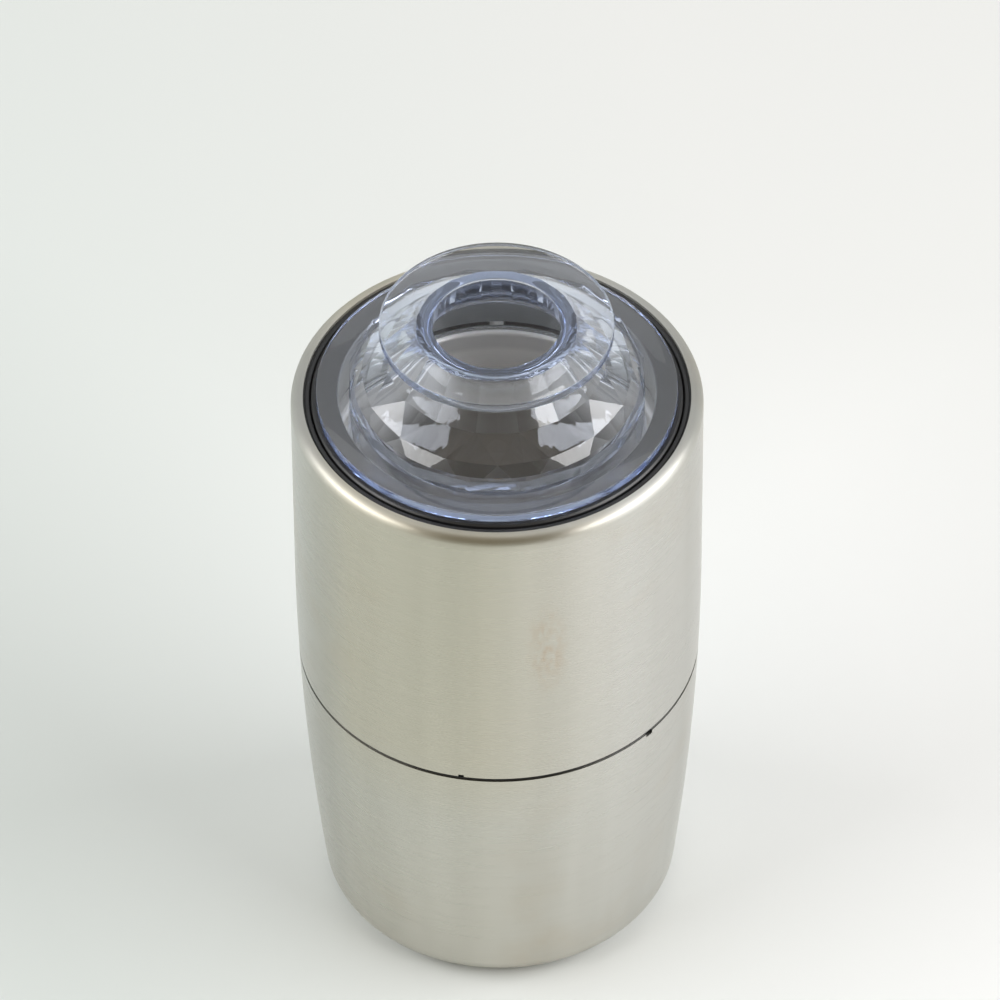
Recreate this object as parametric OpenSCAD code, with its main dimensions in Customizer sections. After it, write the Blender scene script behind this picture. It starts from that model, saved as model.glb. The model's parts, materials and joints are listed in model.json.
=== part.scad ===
// Electric spice grinder: a steel barrel in two shells, a lift-off cup unit with a blade, a sprung
// press ring that works the switch in the base, and a clear lid with a faceted dome.
// Millimetres, +Z up. The origin is on the axis, on the surface that the rubber feet stand on.
// The front faces -Y and the cord inlet faces +Y.

/* [Barrel] */
// Largest diameter of the steel barrel
barrel_d = 100; // [99:0.5:102]
// Height of the rolled rim above the resting surface
rim_z = 162.5; // [162:0.5:166]
// Height of the seam between the two shells
seam_z = 79; // [78.5:0.25:79.5]
// Width of the dark seam
seam_gap = 1.1; // [0.8:0.1:1.4]
// Diameter where the tapered wall meets the rounding at the foot
foot_d = 88.4; // [88:0.2:90]
// Radius that turns the wall in under the barrel
foot_round = 6.5; // [6:0.1:6.8]
// Radius of the rolled rim
rim_round = 2.4; // [2:0.1:2.6]
// Thickness of the steel sheet
sheet = 0.8; // [0.6:0.1:0.8]

/* [Lid] */
// Diameter of the flange that stands on the press ring
flange_d = 87.5; // [86:0.5:88]
// Thickness of the flange
flange_t = 2.4; // [2:0.1:3]
// Diameter of the thin disc on top
disc_d = 56.6; // [50:0.2:64]
// Thickness of the disc on top
disc_t = 1.8; // [1.6:0.1:2.4]
// Diameter of the open hole through the disc and the neck
hole_d = 31.2; // [24:0.1:31.4]
// Outer diameter of the neck
neck_d = 37.4; // [36:0.2:39]
// Diameter of the dome where its facets begin
dome_d = 69.4; // [69:0.1:70]
// Diameter of the dome at its waist, where the long tablets begin
waist_d = 53; // [50:0.2:55]
// Height above the underside of the flange at which the smooth funnel inside the dome begins
funnel_foot = -0.4; // [-1:0.1:1]
// Height of the lid above the rolled rim
lid_rise = 24; // [23:0.5:26]
// Number of facets round each row of the dome
facets = 16; // [12:1:20]
// Depth of the skirt below the flange
skirt_depth = 10.4; // [6:0.2:11]

/* [Cup] */
// Inner radius of the grinding cup
cup_r = 36.6; // [35:0.1:36.8]
// Inner height of the cup floor above the resting surface
cup_floor_z = 100; // [99.5:0.5:101]
// Radius of the rounded corner at the cup floor
cup_corner = 9; // [6:0.5:12]

/* [Blade] */
// Distance from the axis to a blade tip
blade_r = 31; // [26:0.5:33]
// Width of a blade wing
blade_w = 9; // [7:0.5:10]
// Upward bend of the wings in degrees
blade_bend = 14; // [0:1:18]

/* [Motion] */
// How far the press ring goes down
press_travel = 2.5; // [1.5:0.1:2.5]

/* [Hidden] */

$fn = 96;
eps = 0.01;

// Barrel
body_r = barrel_d / 2;
foot_r = foot_d / 2;
foot_z = 1.2;                 // lowest point of the steel
straight_z = 108;             // the wall is straight above this height
foot_tilt = atan(2 * (body_r - foot_r) / (straight_z - foot_z - foot_round));
round_z = foot_z + foot_round * (1 - sin(foot_tilt));
foot_arc_r = foot_r - foot_round * cos(foot_tilt);
lip_r = foot_arc_r - 0.5;     // edge of the steel turned in under the foot
rim_lip_r = body_r - 3;       // edge of the steel turned in at the rim
lower_top_z = seam_z - seam_gap / 2;
upper_bottom_z = seam_z + seam_gap / 2;

// Black rings inside the rim
ring_top_z = rim_z - 0.5;
ring_r = rim_lip_r - 0.4;
ring_lip_r = rim_lip_r - 1.7;
ring_wall_r = rim_lip_r - 1;
web_z = rim_z - 18;
web_t = 2.9;
web_in_r = cup_r + sheet + 0.6;
press_z = rim_z + 0.1;
press_r = ring_lip_r - 0.3;
press_in_r = 38.4;
press_plate_t = 2.4;
press_skirt_z = press_z - 11.4;
rod_r = 1.8;
rod_track_r = 41.8;           // distance of the push rod and the springs from the axis
rod_foot_z = 77.4;

// Cup unit
cup_rim_z = web_z + web_t + sheet;
cup_flange_r = cup_r + 2.8;
carrier_z = 80;
carrier_deck_z = 86;
carrier_deck_t = 2.5;
carrier_r = barrel_r(carrier_deck_z) - sheet - 0.02;
recess_r = 15;
hub_r = 6.5;
hub_top_z = cup_floor_z + 3.2;
floor_boss = 2;               // rise of the cup floor towards the hub
shaft_r = 4;
run_fit = 0.04;               // radial clearance of a turning shaft
post_r = 2.6;
post_track_r = 43;
post_angles = [10, 130, 250];
spring_angles = [30, 150, 270];

// Couplings between base and cup unit
dogs = 6;
dog_w = 27;                   // degrees that one dog covers
coupling_r = 12;
dog_r = 11.4;
drive_plate_z = 73;
drive_plate_t = 3.5;
drive_top_z = 83.5;
driven_plate_z = 83.8;
driven_plate_t = 2.2;
driven_foot_z = 80.3;

// Motor
deck_z = 74.5;
deck_t = 2.5;
deck_top_z = deck_z + deck_t;
spigot_r = 48.1;
seam_flange_r = body_r - 0.9; // black edge in the seam, on top of the lower shell
well_r = 14;
well_z = 70;
core_z = 32;                  // underside of both laminated cores
core_h = 26;
stator_x = 34;
stator_y = 30;
tie_x = 28.5;
tie_y = 24.5;
bore_r = 16.6;
rotor_r = 16;
slots = 12;
motor_shaft_r = 3.5;
upper_plate_z = 64.5;
lower_plate_z = 14.5;
plate_t = 2.5;
bush_r = 7;
bush_h = 6;
commutator_z = 19.5;
commutator_h = 8;
commutator_r = 9;
bars = 24;
fan_z = 5.2;
fan_h = 6.6;
fan_r = 25;

// Switch
switch_y = rod_track_r;
switch_z = 52;
switch_h = 11.8;
button_r = 2.2;
collar_z = 69.4;              // underside of the collar that the spring lifts

// Bottom
cover_t = 2.6;
cover_top_z = foot_z + cover_t;
foot_track_r = 29;
boss_track_r = 32.5;
inlet_z = 16;
inlet_r = 3.4;

// Lid
flange_z = press_z;
girdle_z = flange_z + flange_t;
girdle_h = 3.2;
girdle_r = dome_d / 2 + 1.6;
dome_z = girdle_z + girdle_h;
lid_top_z = rim_z + lid_rise;
neck_z = lid_top_z - disc_t;
lid_wall = 2.4;
skirt_r = 35.8;
skirt_in_r = skirt_r - lid_wall;

// ---- shared shapes ----

function arc(cx, cy, r, a0, a1, n) =
    [for (i = [0:n]) let (a = a0 + (a1 - a0) * i / n) [cx + r * cos(a), cy + r * sin(a)]];

function reversed(list) = [for (i = [len(list) - 1:-1:0]) list[i]];

// A turned ring with a rectangular section
module ring(r_in, r_out, z0, z1) {
    rotate_extrude() translate([r_in, z0]) square([r_out - r_in, z1 - z0]);
}

module rod(r, z0, z1) {
    translate([0, 0, z0]) cylinder(r = r, h = z1 - z0);
}

// Copies of a child at the given angles and distance from the axis
module around(angles, track) {
    for (a = angles) rotate([0, 0, a]) translate([track, 0, 0]) children();
}

// A sheet that follows a path: path_out and path_in run the same way on its two faces
module turned_sheet(path_out, path_in) {
    rotate_extrude() polygon(concat(path_out, reversed(path_in)));
}

// A pan-head screw that points up, with its head's underside at z
module screw_up(head_r, head_h, shank_r, z, top) {
    rotate_extrude() polygon([
        [0, z - head_h],
        [head_r * 0.7, z - head_h],
        [head_r, z - head_h * 0.5],
        [head_r, z],
        [shank_r, z],
        [shank_r, top - shank_r],
        [0, top]
    ]);
}

module hex(r, h) {
    cylinder(r = r, h = h, $fn = 6);
}

// One tooth of a dog coupling, centred on the angle a
module dog(r0, r1, a, z0, z1) {
    translate([0, 0, z0]) linear_extrude(z1 - z0) intersection() {
        difference() {
            circle(r1);
            circle(r0);
        }
        rotate(a) polygon([
            [0, 0],
            [2 * r1, -2 * r1 * tan(dog_w / 2)],
            [2 * r1, 2 * r1 * tan(dog_w / 2)]
        ]);
    }
}

// Points round one section of a wire that climbs a helix
function wire_ring(coil_r, wire_r, z, a, sides) =
    [for (i = [0:sides - 1]) let (b = 360 * i / sides, r = coil_r + wire_r * cos(b))
        [r * cos(a), r * sin(a), z + wire_r * sin(b)]];

// A compression spring of one unbroken wire
module coil_spring(coil_r, wire_r, turns, z0, z1) {
    sides = 6;
    steps = 10 * turns;
    rise = z1 - z0 - 2 * wire_r;
    points = [for (k = [0:steps])
        each wire_ring(coil_r, wire_r, z0 + wire_r + rise * k / steps, 36 * k, sides)];
    walls = [for (k = [0:steps - 1], i = [0:sides - 1])
        let (a = k * sides + i, b = k * sides + (i + 1) % sides)
        each [[a, a + sides, b], [b, a + sides, b + sides]]];
    start = [[for (i = [0:sides - 1]) i]];
    end = [[for (i = [sides - 1:-1:0]) steps * sides + i]];
    polyhedron(points, concat(walls, start, end));
}

// ---- barrel ----

// Outer radius of the barrel: straight above, then one even curve down to the foot
function barrel_r(z) =
    z >= straight_z ? body_r
    : body_r - (body_r - foot_r) * pow((straight_z - z) / (straight_z - round_z), 2);

function wall_path(z0, z1, inset, n) =
    [for (i = [0:n]) let (z = z0 + (z1 - z0) * i / n) [barrel_r(z) - inset, z]];

function base_path(inset) = concat(
    wall_path(lower_top_z, round_z, inset, 16),
    arc(foot_arc_r, foot_z + foot_round, foot_round - inset, -foot_tilt - 4, -90, 10),
    [[lip_r, foot_z + inset]]);

function upper_path(inset) = concat(
    wall_path(upper_bottom_z, straight_z, inset, 8),
    arc(body_r - rim_round, rim_z - rim_round, rim_round - inset, 0, 90, 8),
    [[rim_lip_r, rim_z - inset]]);

// A small notch in the edge of a shell at the seam, angle measured from the front
module seam_notch(angle, w, h) {
    rotate([0, 0, angle]) translate([-w / 2, -body_r - 1, -h]) cube([w, 4, 2 * h]);
}

module base_shell_blank() {
    turned_sheet(base_path(0), base_path(sheet));
}

module base_shell() {
    color([0.78, 0.77, 0.72]) difference() {
        base_shell_blank();
        translate([0, 0, lower_top_z]) seam_notch(48, 2.2, 1);
        translate([0, 0, inlet_z]) rotate([-90, 0, 0]) cylinder(r = inlet_r + 1.8, h = body_r + 5);
    }
}

module upper_shell() {
    color([0.78, 0.77, 0.72]) difference() {
        turned_sheet(upper_path(0), upper_path(sheet));
        translate([0, 0, upper_bottom_z]) seam_notch(-11, 1.4, 0.6);
    }
}

// ---- base: black inner body, cover and feet ----

module base_core() {
    post_top = deck_z + eps;
    color([0.07, 0.07, 0.075]) difference() {
        union() {
            // deck, well round the coupling, spigot that the cup unit seats on, edge in the seam
            rotate_extrude() polygon([
                [5, well_z], [well_r + 1.6, well_z],
                [well_r + 1.6, deck_z], [46.2, deck_z],
                [46.2, 66], [47.5, 66],
                [47.5, deck_z], [spigot_r, deck_z],
                [spigot_r, lower_top_z], [seam_flange_r, lower_top_z],
                [seam_flange_r, lower_top_z + 0.4], [spigot_r, seam_z + 0.2],
                [spigot_r, carrier_deck_z - 0.8], [spigot_r - 0.8, carrier_deck_z],
                [spigot_r - 1.7, carrier_deck_z], [spigot_r - 1.7, deck_top_z],
                [well_r, deck_top_z], [well_r, well_z + deck_t],
                [5, well_z + deck_t]
            ]);
            // ribs under the deck
            for (a = [0:45:315])
                rotate([0, 0, a + 22.5]) translate([well_r + 1, -0.9, well_z + 1]) cube([31.8, 1.8, 4]);
            // posts that the motor hangs from
            for (x = [-tie_x, tie_x], y = [-tie_y, tie_y])
                translate([x, y, 0]) rod(4, well_z, post_top);
            // lugs of the switch
            for (x = [-8, 8])
                translate([x - 1.5, switch_y - 2.5, switch_z + switch_h])
                    cube([3, 5, deck_z - switch_z - switch_h + eps]);
            // pillars down to the ring that the cover is screwed to
            around([68, 112, 248, 292], 38) rod(3.2, 9, post_top);
            ring(28, 41.2, 8.5, 11);
            around([45:90:315], boss_track_r) rod(3.6, cover_top_z, 8.5 + eps);
        }
        // hole of the switch button, tapped holes
        translate([0, switch_y, 0]) rod(button_r + 0.4, well_z, deck_top_z + 1);
        for (x = [-tie_x, tie_x], y = [-tie_y, tie_y])
            translate([x, y, 0]) rod(1.55, well_z - 1, deck_z - 1);
        around([45:90:315], boss_track_r) rod(1.2, cover_top_z - 1, 10);
    }
}

module bottom_cover() {
    color([0.08, 0.08, 0.085]) difference() {
        union() {
            ring(0, lip_r - 0.3, foot_z, cover_top_z);
            ring(lip_r - 1, lip_r + 1.2, foot_z + sheet + 0.1, cover_top_z);
        }
        // vent slots under the fan
        for (a = [0:15:345])
            rotate([0, 0, a]) translate([11, -0.9, foot_z - 1]) cube([12, 1.8, cover_t + 2]);
        // pockets and holes of the feet
        around([0:90:270], foot_track_r) {
            rod(6.1, foot_z - 1, foot_z + 1);
            rod(2.1, foot_z, cover_top_z + 1);
        }
        // sunk screw heads
        around([45:90:315], boss_track_r) {
            rod(3.4, foot_z - 1, foot_z + 1.8);
            rod(1.7, foot_z, cover_top_z + 1);
        }
    }
}

module rubber_feet() {
    color([0.1, 0.1, 0.1]) around([0:90:270], foot_track_r)
        rotate_extrude() polygon([
            [0, 0], [5.2, 0], [6, 0.6], [6, foot_z + 1], [2, foot_z + 1],
            [2, cover_top_z], [2.8, cover_top_z + 0.1], [1.4, cover_top_z + 1.8], [0, cover_top_z + 1.8]
        ]);
}

module cover_screws() {
    color([0.7, 0.7, 0.72]) around([45:90:315], boss_track_r)
        screw_up(3, 1.5, 1.2, foot_z + 1.8, 9.6);
}

// Rubber bush in the rear wall. It holds the hole that a mains cord would come through.
module cord_grommet() {
    color([0.1, 0.1, 0.1]) difference() {
        translate([0, 0, inlet_z]) rotate([-90, 0, 0]) rotate_extrude() polygon([
            [inlet_r, 41.6], [inlet_r + 2.6, 41.6], [inlet_r + 2.9, 43.4], [inlet_r + 1.8, 43.4],
            [inlet_r + 1.8, 44.4], [inlet_r + 3, 44.4], [inlet_r + 3, 45.8], [inlet_r + 2.2, 46.6],
            [inlet_r, 46.6]
        ]);
        base_shell();
    }
}

// ---- motor ----

// Outline of the laminated core and of the space inside it
module rounded_box_2d(x, y, r) {
    for (sx = [-1, 1], sy = [-1, 1]) translate([sx * (x - r), sy * (y - r)]) circle(r);
    square([2 * x, 2 * (y - r)], center = true);
    square([2 * (x - r), 2 * y], center = true);
}

module tie_holes_2d(r) {
    for (x = [-tie_x, tie_x], y = [-tie_y, tie_y]) translate([x, y]) circle(r);
}

module stator_core() {
    shoe_a = 62;
    color([0.45, 0.45, 0.47]) translate([0, 0, core_z]) linear_extrude(core_h) {
        difference() {
            rounded_box_2d(stator_x, stator_y, 12);
            rounded_box_2d(26, 22, 8);
            tie_holes_2d(2);
        }
        for (side = [0, 180]) rotate(side) {
            polygon(concat(arc(0, 0, 19, -shoe_a, shoe_a, 24), arc(0, 0, bore_r, shoe_a, -shoe_a, 24)));
            translate([18.6, -8]) square([8, 16]);
        }
    }
}

// Coil round one pole: a racetrack seen along X
module field_coil() {
    half = core_h / 2 + 0.4;
    translate([19.6, 0, core_z + core_h / 2]) rotate([90, 0, 90]) linear_extrude(5.8)
        difference() {
            rounded_box_2d(15.4, half + 5, 5);
            square([16.6, 2 * half], center = true);
        }
}

module field_coils() {
    color([0.72, 0.35, 0.18]) for (side = [0, 180]) rotate([0, 0, side]) field_coil();
}

// Cross-shaped bearing bracket with a hub round the bush
module bracket(z, hub_z) {
    difference() {
        union() {
            translate([0, 0, z]) linear_extrude(plate_t) {
                for (s = [-1, 1]) rotate(s * atan(tie_y / tie_x))
                    square([2 * norm([tie_x, tie_y]), 8], center = true);
                tie_holes_2d(5);
                circle(12);
            }
            rod(bush_r + 2, hub_z, hub_z + bush_h);
        }
        rod(bush_r, hub_z - 1, hub_z + bush_h + 1);
        translate([0, 0, z - 1]) linear_extrude(plate_t + 2) tie_holes_2d(2);
    }
}

module upper_bracket() {
    color([0.62, 0.63, 0.65]) bracket(upper_plate_z, upper_plate_z - 2);
}

module lower_bracket() {
    color([0.62, 0.63, 0.65]) bracket(lower_plate_z, lower_plate_z - 2);
}

module shaft_bushes() {
    color([0.7, 0.5, 0.25]) for (z = [upper_plate_z - 2, lower_plate_z - 2])
        ring(motor_shaft_r + run_fit, bush_r, z, z + bush_h);
}

module motor_screws() {
    color([0.7, 0.7, 0.72]) for (x = [-tie_x, tie_x], y = [-tie_y, tie_y])
        translate([x, y, 0]) screw_up(3.4, 2, 1.5, lower_plate_z, deck_z - 2);
}

// Sleeves on the screws, between each bracket and the laminated core
module spacer_sleeves() {
    color([0.7, 0.7, 0.72]) for (x = [-tie_x, tie_x], y = [-tie_y, tie_y]) translate([x, y, 0]) {
        ring(2, 3.4, lower_plate_z + plate_t, core_z);
        ring(2, 3.4, core_z + core_h, upper_plate_z);
    }
}

// Rubber rings that the whole motor hangs from
module motor_dampers() {
    color([0.12, 0.12, 0.12]) for (x = [-tie_x, tie_x], y = [-tie_y, tie_y])
        translate([x, y, 0]) ring(2, 4, upper_plate_z + plate_t, well_z);
}

module brush_holders() {
    box_z = commutator_z + 1;
    color([0.72, 0.55, 0.3]) for (side = [90, 270]) rotate([0, 0, side]) difference() {
        union() {
            translate([10.4, -3.6, box_z]) cube([13.6, 7.2, 6.4]);
            translate([12, -2.4, lower_plate_z + plate_t])
                cube([8, 4.8, box_z - lower_plate_z - plate_t + eps]);
            translate([9.2, -5.6, lower_plate_z + plate_t]) cube([10.8, 11.2, 1]);
        }
        translate([9, -2.6, box_z + 1]) cube([16, 5.2, 4.4]);
    }
}

module carbon_brushes() {
    color([0.15, 0.15, 0.16]) for (side = [90, 270]) rotate([0, 0, side])
        translate([commutator_r + 0.1, -2.5, commutator_z + 2.1]) cube([11, 5, 4.2]);
}

// ---- rotor ----

module rotor_shaft() {
    color([0.75, 0.75, 0.77]) rod(motor_shaft_r, fan_z, drive_plate_z + drive_plate_t);
}

module armature_core() {
    color([0.45, 0.45, 0.47]) translate([0, 0, core_z]) linear_extrude(core_h) difference() {
        circle(rotor_r);
        circle(motor_shaft_r + 0.01);
        for (k = [0:slots - 1]) rotate(k * 360 / slots) {
            translate([11.6, 0]) circle(2.3);
            translate([11.6, -0.6]) square([6, 1.2]);
        }
    }
}

module armature_winding() {
    color([0.72, 0.35, 0.18]) {
        for (k = [0:slots - 1]) rotate([0, 0, k * 360 / slots]) translate([11.6, 0, 0])
            rod(2.2, core_z - 1, core_z + core_h + 1);
        for (z = [core_z - 2.1, core_z + core_h + 2.1]) rotate_extrude() translate([10.2, z])
            polygon(arc(0, 0, 1, 0, 337.5, 15) * [[4.2, 0], [0, 2]]);
    }
}

module commutator() {
    color([0.75, 0.42, 0.22]) translate([0, 0, commutator_z]) linear_extrude(commutator_h)
        difference() {
            circle(commutator_r);
            circle(motor_shaft_r + 0.01);
            for (k = [0:bars - 1]) rotate(k * 360 / bars)
                translate([commutator_r - 1.6, -0.25]) square([3, 0.5]);
        }
}

module cooling_fan() {
    blades = 12;
    color([0.85, 0.85, 0.82]) difference() {
        union() {
            rod(fan_r, fan_z, fan_z + 1.2);
            rod(6.5, fan_z, fan_z + fan_h);
            for (k = [0:blades - 1]) rotate([0, 0, k * 360 / blades])
                translate([0, 0, fan_z]) linear_extrude(fan_h)
                    polygon(concat(
                        arc(6, 18, 19, -88, -32, 8),
                        arc(6, 18, 17.8, -32, -88, 8)));
        }
        rod(motor_shaft_r + 0.01, fan_z - 1, fan_z + fan_h + 1);
    }
}

// Driving half of the coupling, with teeth that reach up into the cup unit
module drive_coupling() {
    color([0.1, 0.1, 0.1]) difference() {
        union() {
            rod(coupling_r, drive_plate_z, drive_plate_z + drive_plate_t);
            rod(5.2, drive_plate_z, drive_plate_z + drive_plate_t + 2);
            for (k = [0:dogs - 1])
                dog(6.6, dog_r, k * 360 / dogs, drive_plate_z + 1, drive_top_z);
        }
        rod(motor_shaft_r + 0.01, drive_plate_z - 1, drive_plate_z + drive_plate_t + 0.01);
    }
}

// ---- switch ----

module micro_switch() {
    color([0.12, 0.12, 0.13]) difference() {
        translate([-10, switch_y - 3.2, switch_z]) cube([20, 6.4, switch_h]);
        for (x = [-5, 5]) translate([x, switch_y, switch_z + 3]) rotate([90, 0, 0])
            cylinder(r = 1.3, h = 10, center = true);
        translate([0, switch_y, 0]) rod(1.25, switch_z + 3, switch_z + switch_h + 1);
    }
    // solder tags
    color([0.8, 0.75, 0.6]) for (x = [-8, 0, 8])
        translate([x - 1.2, switch_y - 0.3, switch_z - 4]) cube([2.4, 0.6, 4 + eps]);
}

module switch_button() {
    top = rod_foot_z - 0.1;
    color([0.75, 0.1, 0.08]) translate([0, switch_y, 0]) rotate_extrude() polygon([
        [0, 60], [1, 60], [1, collar_z], [3.4, collar_z], [3.4, collar_z + 1.2],
        [button_r, collar_z + 1.2],
        [button_r, top - 0.6], [button_r - 0.6, top], [0, top]
    ]);
}

module switch_spring() {
    color([0.75, 0.75, 0.77]) translate([0, switch_y, 0])
        coil_spring(2.1, 0.25, 4, switch_z + switch_h, collar_z);
}

// ---- cup unit ----

module rim_ring() {
    color([0.06, 0.06, 0.065]) difference() {
        rotate_extrude() polygon([
            [ring_lip_r, ring_top_z - 0.3], [ring_lip_r + 0.3, ring_top_z],
            [ring_r - 0.2, ring_top_z], [ring_r, ring_top_z - 0.2],
            [ring_r, rim_z - sheet], [body_r - rim_round - 0.1, rim_z - sheet],
            [body_r - 1, rim_z - rim_round],
            [body_r - 1, web_z], [web_in_r, web_z],
            [web_in_r, web_z + web_t], [ring_wall_r, web_z + web_t],
            [ring_wall_r, rim_z - 4.5], [ring_lip_r, rim_z - 4.5]
        ]);
        rotate([0, 0, 90]) translate([rod_track_r, 0, 0]) rod(rod_r + 0.4, web_z - 1, web_z + web_t + 1);
        around(post_angles, post_track_r) rod(1.6, web_z - 1, web_z + web_t + 1);
    }
}

module cup_carrier() {
    deck_top = carrier_deck_z + carrier_deck_t;
    seat_top = cup_floor_z + floor_boss - sheet;
    color([0.07, 0.07, 0.075]) difference() {
        union() {
            // deck, recess round the coupling, skirt inside the spigot, seat of the cup
            rotate_extrude() polygon([
                [recess_r, carrier_z], [recess_r + 1.6, carrier_z],
                [recess_r + 1.6, carrier_deck_z], [44, carrier_deck_z],
                [44, carrier_z], [45.4, carrier_z], [45.8, carrier_z + 0.4],
                [45.8, carrier_deck_z], [carrier_r, carrier_deck_z],
                [carrier_r, carrier_deck_z + 12], [carrier_r - 1.4, carrier_deck_z + 12],
                [carrier_r - 1.4, deck_top], [recess_r + 1.6, deck_top],
                [recess_r + 1.6, deck_top + 2.5], [hub_r + 3.5, deck_top + 2.5],
                [hub_r + 3.5, seat_top], [hub_r + 0.1, seat_top],
                [hub_r + 0.1, deck_top], [recess_r, deck_top]
            ]);
            // ribs
            for (a = [20:60:320])
                rotate([0, 0, a]) translate([recess_r + 1, -0.9, deck_top - eps])
                    cube([carrier_r - recess_r - 2, 1.8, 4.5]);
            // guide of the push rod
            rotate([0, 0, 90]) translate([rod_track_r, 0, 0]) rod(rod_r + 2, carrier_z, deck_top + 5);
            // posts that carry the rim ring
            around(post_angles, post_track_r) rod(post_r, deck_top - eps, web_z);
        }
        rotate([0, 0, 90]) translate([rod_track_r, 0, 0])
            rod(rod_r + 0.4, carrier_z - 1, deck_top + 6);
        around(post_angles, post_track_r) rod(1.25, web_z - 12, web_z + 1);
    }
}

module cup_screws() {
    color([0.7, 0.7, 0.72]) around(post_angles, post_track_r)
        translate([0, 0, 2 * (web_z + web_t)]) mirror([0, 0, 1])
            screw_up(2.8, 1.6, 1.2, web_z + web_t, web_z + web_t + 12);
}

// Path down the inside of the cup, shifted outwards by t
function cup_path(t) = concat(
    [[cup_flange_r, cup_rim_z - t]],
    arc(cup_r + 1.2, cup_rim_z - 1.2, 1.2 - t, 90, 180, 4),
    arc(cup_r - cup_corner, cup_floor_z + cup_corner, cup_corner + t, 0, -90, 12),
    [
        [hub_r + 8, cup_floor_z - t],
        [hub_r + 4, cup_floor_z + floor_boss - t],
        [hub_r + 0.1, cup_floor_z + floor_boss - t]
    ]);

module grinding_cup() {
    color([0.8, 0.79, 0.76]) turned_sheet(cup_path(0), cup_path(sheet));
}

module blade_hub() {
    seat_z = cup_floor_z + floor_boss;
    color([0.72, 0.6, 0.35]) rotate_extrude() polygon([
        [shaft_r + run_fit, carrier_deck_z + 0.3], [hub_r, carrier_deck_z + 0.3],
        [hub_r, seat_z], [hub_r + 3, seat_z], [hub_r + 2.4, hub_top_z],
        [6, hub_top_z], [6, cup_floor_z], [shaft_r + run_fit, cup_floor_z]
    ]);
}

module hub_nut() {
    color([0.72, 0.72, 0.74]) difference() {
        translate([0, 0, carrier_deck_z + 0.3]) hex(10, 2.2);
        rod(hub_r + 0.01, carrier_deck_z - 1, carrier_deck_z + 4);
    }
}

module shaft_seal() {
    color([0.12, 0.12, 0.12]) rotate_extrude() polygon([
        [shaft_r + run_fit, cup_floor_z], [6, cup_floor_z], [6, hub_top_z],
        [5, hub_top_z], [shaft_r + run_fit, hub_top_z - 0.8]
    ]);
}

module return_springs() {
    color([0.75, 0.75, 0.77]) around(spring_angles, rod_track_r)
        coil_spring(1.5, 0.3, 6, web_z + web_t, press_z - press_plate_t);
}

// ---- blade ----

module blade_shaft() {
    color([0.75, 0.75, 0.77]) {
        rod(shaft_r, driven_plate_z, hub_top_z + 0.8);
        rod(3, hub_top_z + 0.7, hub_top_z + 5);
    }
}

// Outline of one wing from the hub to its tip, with a swept leading edge
function wing_outline(x0, x1) = concat(
    [for (i = [0:8]) let (u = i / 8) [x0 + (x1 - x0) * u, -blade_w / 2 * (1 - 0.45 * u * u)]],
    arc(x1 - 2, blade_w / 2 - 3.4, 2, 0, 90, 4),
    [[x0, blade_w / 2]]);

module blade_wing() {
    bend_x = 11;
    thick = 1.6;
    linear_extrude(thick) translate([0, -blade_w / 2]) square([bend_x + 0.3, blade_w]);
    translate([bend_x, 0, 0]) rotate([0, -blade_bend, 0]) difference() {
        linear_extrude(thick) polygon(wing_outline(0, blade_r - bend_x));
        // ground cutting edge
        translate([2, -blade_w / 2 - 1, thick]) rotate([28, 0, 4.5]) translate([0, -4, 0])
            cube([blade_r, 6.4, 4]);
    }
}

module blade() {
    color([0.82, 0.82, 0.83]) translate([0, 0, hub_top_z + 0.8]) difference() {
        union() {
            for (side = [0, 180]) rotate([0, 0, side]) blade_wing();
            cylinder(r = 7, h = 1.6);
        }
        translate([0, 0, -1]) cylinder(r = 3.01, h = 4);
    }
}

module blade_nut() {
    nut_z = hub_top_z + 2.4;
    color([0.78, 0.78, 0.8]) difference() {
        union() {
            translate([0, 0, nut_z]) hex(5.6, 2.6);
            rotate_extrude() polygon(concat([[0, nut_z + 2.5]], arc(0, nut_z + 2.5, 4.4, 0, 90, 12)));
        }
        rod(3.01, nut_z - 1, hub_top_z + 5.01);
    }
}

module driven_coupling() {
    color([0.1, 0.1, 0.1]) difference() {
        union() {
            rod(coupling_r, driven_plate_z, driven_plate_z + driven_plate_t);
            for (k = [0:dogs - 1])
                dog(6.6, dog_r, (k + 0.5) * 360 / dogs, driven_foot_z, driven_plate_z + 0.5);
        }
        rod(shaft_r + 0.01, driven_plate_z - 1, driven_plate_z + driven_plate_t + 1);
    }
}

// ---- press ring ----

module press_ring() {
    color([0.06, 0.06, 0.065]) difference() {
        rotate_extrude() polygon([
            [press_in_r, press_skirt_z], [press_in_r + 1.2, press_skirt_z],
            [press_in_r + 1.2, press_z - press_plate_t], [press_r - 1, press_z - press_plate_t],
            [press_r - 1, press_z - 8.1], [press_r, press_z - 8.1],
            [press_r, press_z - 6.6], [press_r + 0.7, press_z - 6.6],
            [press_r + 0.7, press_z - 4.8], [press_r, press_z - 4.8],
            [press_r, press_z - 0.4], [press_r - 0.4, press_z],
            [press_in_r + 0.3, press_z], [press_in_r, press_z - 0.3]
        ]);
        // hole that the top of the push rod is riveted into
        rotate([0, 0, 90]) translate([rod_track_r, 0, 0])
            rod(rod_r - 0.6, press_z - press_plate_t - 1, press_z - 0.8);
    }
}

module push_rod() {
    color([0.8, 0.8, 0.78]) rotate([0, 0, 90]) translate([rod_track_r, 0, 0]) {
        rod(rod_r, rod_foot_z, press_z - press_plate_t);
        rod(rod_r - 0.62, press_z - press_plate_t - 1, press_z - 0.9);
    }
}

// ---- lid ----

// A row of points round the dome; shift moves them by a part of one facet, from the front
function dome_row(r, z, shift) =
    [for (k = [0:facets - 1]) let (a = (k + shift) * 360 / facets - 90) [r * cos(a), r * sin(a), z]];

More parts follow.
